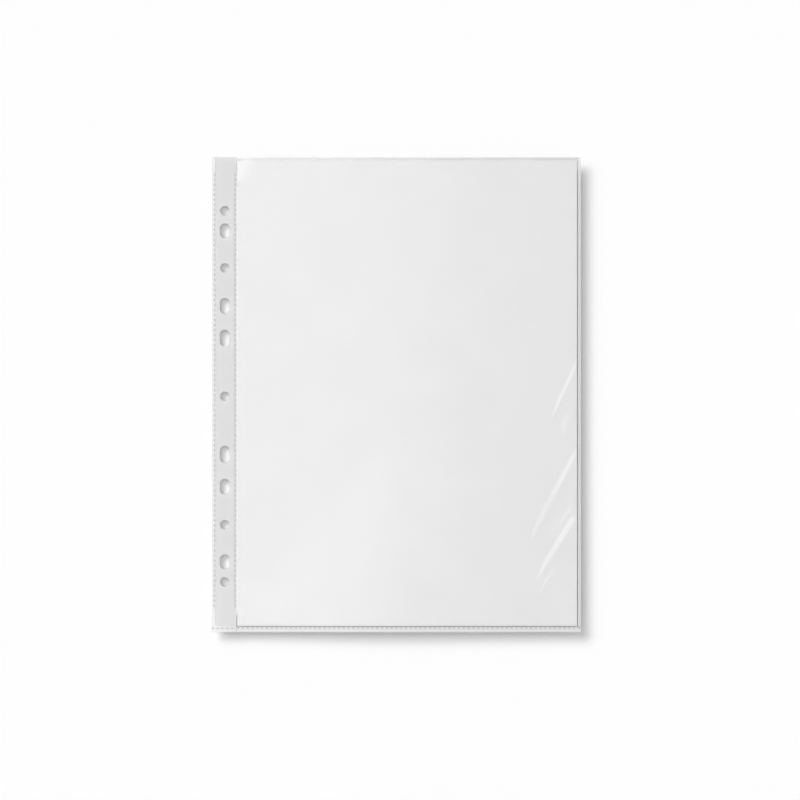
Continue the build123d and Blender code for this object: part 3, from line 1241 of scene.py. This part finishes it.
class LipSweep:
    """Geometry Nodes that run a low rounded lip round each punched hole."""

    SIDES = 10

    def __init__(self) -> None:
        """Builds the tree once."""
        self.tree = bpy.data.node_groups.new("punch_lips", "GeometryNodeTree")
        nodes = Nodes(self.tree)
        nodes.socket("Geometry", "Geometry")
        self.width = nodes.socket("Lip Width", "Float")
        self.flatness = nodes.socket("Flatness", "Float")
        self.finish = nodes.socket("Finish", "Material")
        nodes.socket("Geometry", "Geometry", output=True)
        inside = nodes.add("NodeGroupInput").outputs
        path = nodes.add("GeometryNodeMeshToCurve", {"Mesh": inside["Geometry"]}).outputs[0]
        upright = nodes.add("GeometryNodeSetCurveNormal", {"Curve": path}, mode="Z_UP").outputs[0]
        round_lip = nodes.add("GeometryNodeCurvePrimitiveCircle", {"Resolution": self.SIDES}, mode="RADIUS")
        self.tree.links.new(nodes.math("MULTIPLY", inside["Lip Width"], 0.5), round_lip.inputs["Radius"])
        scale = nodes.add("ShaderNodeCombineXYZ", {"X": 1.0, "Y": inside["Flatness"], "Z": 1.0}).outputs[0]
        pressed = {"Geometry": round_lip.outputs["Curve"], "Scale": scale}
        flat = nodes.add("GeometryNodeTransform", pressed).outputs[0]
        swept = nodes.add("GeometryNodeCurveToMesh", {"Curve": upright, "Profile Curve": flat}).outputs[0]
        shaded = nodes.add("GeometryNodeSetShadeSmooth", {"Geometry": swept}).outputs[0]
        nodes.end(shaded, inside["Finish"])

    def apply(
        self, piece: bpy.types.Object, width: float, flatness: float, finish: bpy.types.Material
    ) -> None:
        """Runs the lips along a piece's edges and makes the result its mesh.

        Args:
            piece: Loops of edges.
            width: Width of a lip in millimetres.
            flatness: Height of a lip as a share of its width.
            finish: Material of the lips.
        """
        modifier = piece.modifiers.new("punch_lips", "NODES")
        modifier.node_group = self.tree
        modifier[self.width] = width * MM
        modifier[self.flatness] = flatness
        modifier[self.finish] = finish
        MeshKit.settle(piece)


@dataclass(frozen=True)
class BindingStrip:
    """The punched strip: two films and a milky tape between them, in millimetres."""

    round_holes: tuple[float, ...] = (0.0, 83.0, -83.0, 120.0, -120.0)
    round_width: float = 6.0
    slots: tuple[Point, ...] = ((37.5, 11.0), (58.4, 10.2), (107.0, 9.5))
    slot_width: float = 6.3
    punching_drop: float = 1.2
    arc_steps: int = 24
    side_steps: int = 62
    inset: float = 0.012
    lip_width: float = 0.5
    lip_flatness: float = 0.25

    def build(
        self, places: Places, film: bpy.types.Material, tape: bpy.types.Material
    ) -> dict[str, bpy.types.Object]:
        """Makes the strip's layers.

        Args:
            places: Edges and levels.
            film: Clear film material.
            tape: Tape material.

        Returns:
            The pieces by name.
        """
        under, over = places.tape_low + self.inset, places.tape_high - self.inset
        layers = {
            "strip_back_film": (0.0, places.film, Slot.CLEAR, film, "strip_back"),
            "strip_tape": (under, over, Slot.TAPE, tape, "reinforcing_tape"),
            "strip_front_film": (places.top - places.film, places.top, Slot.CLEAR, film, "strip_front"),
        }
        made = {}
        holes = self.holes(places)
        sides = np.linspace(places.panel_foot, places.mouth, self.side_steps)
        right = np.c_[np.full_like(sides, places.tape_right), sides]
        left = np.c_[np.full_like(sides, places.tape_left), sides[::-1]]
        outline = np.concatenate([right, left])
        for name, (low, high, slot, finish, node) in layers.items():
            piece = MeshKit.solid(name, MeshKit.plate([outline, *holes], low, high), crease_deg=40.0)
            made[name] = Piece.place(piece, Body.STRIP, slot, finish, [node])
        made["punch_lips"] = self.lips(places, holes, film)
        return made

    def holes(self, places: Places) -> list[np.ndarray]:
        """Outlines of the round holes and slots, from the foot to the mouth."""
        middle = -self.punching_drop
        found = [(middle + offset, self.round_width, self.round_width) for offset in self.round_holes]
        for offset, length in self.slots:
            found += [(middle + side * offset, self.slot_width, length) for side in (1, -1)]
        return [self.outline(places.hole_line, y, width, length) for y, width, length in sorted(found)]

    def outline(self, x: float, y: float, width: float, length: float) -> np.ndarray:
        """Outline of one hole: two half circles with straight sides between them."""
        turn = np.linspace(0.0, math.pi, self.arc_steps + 1)
        straight = (length - width) / 2
        upper = np.c_[np.cos(turn), np.sin(turn)] * width / 2 + (x, y + straight)
        lower = np.c_[-np.cos(turn), -np.sin(turn)] * width / 2 + (x, y - straight)
        if straight < 1e-6:
            upper, lower = upper[:-1], lower[:-1]
        return np.concatenate([upper, lower])

    def lips(self, places: Places, holes: Sequence[np.ndarray], film: bpy.types.Material) -> bpy.types.Object:
        """Makes the low lips round the holes."""
        points: list[tuple[float, float, float]] = []
        edges: list[tuple[int, int]] = []
        for hole in holes:
            start = len(points)
            ring = range(start, start + len(hole))
            points += [(x * MM, y * MM, places.top * MM) for x, y in hole]
            edges += [(index, start + (index - start + 1) % len(hole)) for index in ring]
        mesh = bpy.data.meshes.new("punch_lips")
        mesh.from_pydata(points, edges, [])
        piece = MeshKit.show("punch_lips", mesh)
        LipSweep().apply(piece, self.lip_width, self.lip_flatness, film)
        return Piece.place(piece, Body.STRIP, Slot.CLEAR, film, [])


@dataclass(frozen=True)
class InsertSheet:
    """The white sheet in the pocket, with a faint cockle, in millimetres."""

    step: float = 4.0
    cockle: float = 0.03
    waves: tuple[Ripple, ...] = (
        Ripple(0.5, 23.0, -37.0, 0.8708),
        Ripple(-0.5, 23.0, 37.0, 3.0708),
        Ripple(0.6, 41.0, -29.0, 0.0),
    )

    def build(self, places: Places, finish: bpy.types.Material) -> bpy.types.Object:
        """Makes the sheet.

        Args:
            places: Edges and levels.
            finish: Paper material.

        Returns:
            The piece.
        """
        low, high = places.sheet_low, places.sheet_high
        columns = np.linspace(low.x, high.x, round((high.x - low.x) / self.step) + 1)
        rows = np.linspace(low.y, high.y, round((high.y - low.y) / self.step) + 1)
        x, y = np.meshgrid(columns, rows)
        z = (low.z + high.z) / 2 + self.cockle * sum(ripple.lift(x, y) for ripple in self.waves)
        shape = MeshKit.shell(np.stack([x, y, z], axis=-1), high.z - low.z)
        piece = MeshKit.solid("white_sheet", shape)
        return Piece.place(piece, Body.SHEET, Slot.PAPER, finish, ["insert_sheet"])


@dataclass(frozen=True)
class Lamp:
    """A broad, even lamp far beyond the strip's upper end, with angles in degrees."""

    name: str
    share: float
    lit: Lit = Lit.FLOOR
    azimuth: float = 140.0
    elevation: float = 16.5
    spread: float = 13.0

    def hang(self, floor: bpy.types.Object) -> None:
        """Puts the lamp in the scene, with its share of the light on a level face.

        Args:
            floor: The floor, which it lights alone or leaves out.
        """
        lamp = bpy.data.lights.new(self.name, "SUN")
        low, turn = math.radians(self.elevation), math.radians(self.azimuth)
        lamp.energy = self.share * math.pi / math.sin(low)
        lamp.angle = math.radians(self.spread)
        way = Vector((math.cos(turn) * math.cos(low), math.sin(turn) * math.cos(low), math.sin(low)))
        held = bpy.data.objects.new(self.name, lamp)
        held.location = way
        held.rotation_euler = way.to_track_quat("Z", "Y").to_euler()
        held.visible_glossy = False
        bpy.context.scene.collection.objects.link(held)
        lit = bpy.data.collections.new(f"lit_by_{self.name}")
        lit.objects.link(floor)
        lit.collection_objects[0].light_linking.link_state = self.lit.value
        held.light_linking.receiver_collection = lit


@dataclass(frozen=True)
class Studio:
    """Floor, lamps, world and camera.

    The low lamps give the floor its long, soft shadows. A higher one lights the pieces as strongly, so that
    a leaf that stands up isn't too bright.
    """

    floor_drop: float = 0.86
    floor_size: float = 40.0
    floor_colour: Colour = (0.985, 0.985, 0.985)
    floor_rough: float = 0.9
    lamps: tuple[Lamp, ...] = (
        Lamp("key", 0.145),
        Lamp("key_by_mouth", 0.14, azimuth=122.0),
        Lamp("key_by_strip", 0.14, azimuth=158.0),
        Lamp("upper", 0.08, elevation=40.0, spread=30.0),
        Lamp("over_the_leaf", 0.505, Lit.PIECES, elevation=50.0, spread=30.0),
    )
    fill: float = 0.50
    dark_side: Point = (-0.045, 0.035)
    dark_overhead: Point = (0.75, 0.93)
    clear_layers: int = 32
    frame_width: float = 517.2
    aim: Point = (2.46, -3.59)
    lens: float = 100.0

    def build(self, places: Places) -> None:
        """Sets the stage.

        Args:
            places: Edges and levels.
        """
        floor = self.floor()
        for lamp in self.lamps:
            lamp.hang(floor)
        self.world()
        self.camera(places)
        scene = bpy.context.scene
        scene.view_settings.view_transform = "Standard"
        scene.cycles.transparent_max_bounces = self.clear_layers

    def floor(self) -> bpy.types.Object:
        """Lays a plain white floor just under the loose leaf and returns it."""
        half = self.floor_size / 2
        level = -self.floor_drop * MM
        mesh = bpy.data.meshes.new("floor")
        corners = [(-half, -half, level), (half, -half, level), (half, half, level), (-half, half, level)]
        mesh.from_pydata(corners, [], [(0, 1, 2, 3)])
        material = bpy.data.materials.new("floor_white")
        material.use_nodes = True
        shader = material.node_tree.nodes["Principled BSDF"]
        shader.inputs["Base Color"].default_value = (*self.floor_colour, 1.0)
        shader.inputs["Roughness"].default_value = self.floor_rough
        shader.inputs["Specular IOR Level"].default_value = 0.0
        mesh.materials.append(material)
        floor = MeshKit.show("floor", mesh)
        return floor

    def world(self) -> None:
        """Makes an even fill, seen as a white room that is darker overhead on the fold's side."""
        world = bpy.data.worlds.new("studio")
        bpy.context.scene.world = world
        world.use_nodes = True
        world.node_tree.nodes.clear()
        nodes = Nodes(world.node_tree)
        way = nodes.parts(nodes.add("ShaderNodeTexCoord").outputs["Generated"])
        side = nodes.ease(way["X"], *self.dark_side, 1.0, 0.0)
        overhead = nodes.ease(way["Z"], *self.dark_overhead, 0.0, 1.0)
        room = nodes.add("ShaderNodeMix", {0: overhead, 2: 1.0, 3: side}, data_type="FLOAT").outputs[0]
        path = nodes.add("ShaderNodeLightPath").outputs
        seen = nodes.math("MAXIMUM", path["Is Camera Ray"], path["Is Glossy Ray"])
        seen = nodes.math("MAXIMUM", seen, path["Is Transmission Ray"])
        level = nodes.add("ShaderNodeMix", {0: seen, 2: self.fill, 3: room}, data_type="FLOAT").outputs[0]
        back = nodes.add("ShaderNodeBackground", {"Color": WHITE, "Strength": level}).outputs[0]
        nodes.add("ShaderNodeOutputWorld", {"Surface": back})

    def camera(self, places: Places) -> None:
        """Hangs a long-lens camera straight above, with the mouth at the top of the picture."""
        lens = bpy.data.cameras.new("camera")
        lens.lens = self.lens
        distance = self.frame_width * MM * self.lens / lens.sensor_width
        camera = bpy.data.objects.new("camera", lens)
        camera.location = (self.aim[0] * MM, self.aim[1] * MM, places.middle * MM + distance)
        bpy.context.scene.collection.objects.link(camera)
        bpy.context.scene.camera = camera


def main() -> None:
    """Builds the pieces, the stage and the camera."""
    places = Places.read()
    effects = SharedEffects()
    clear = FilmFinish("clear_film").make(effects)
    # The fused lands are painted pale and dense: partly a milky weld, partly painted light over the shadowed
    # floor beneath clear film.
    fused = FilmFinish(
        "fused_film", milk_and_light_haze=0.60, milk_and_light_tint=(0.96, 0.96, 0.96), dense_passed=0.20,
    ).make(effects)
    tape = TapeFinish("milky_tape").make(effects)
    paper = PaperFinish("white_paper").make(effects)
    film = PocketFilm().build(places, clear)
    seams = Seams().build(places, fused)
    strip = BindingStrip().build(places, clear, tape)
    sheet = InsertSheet().build(places, paper)
    Studio().build(places)


if __name__ == "__main__":
    main()
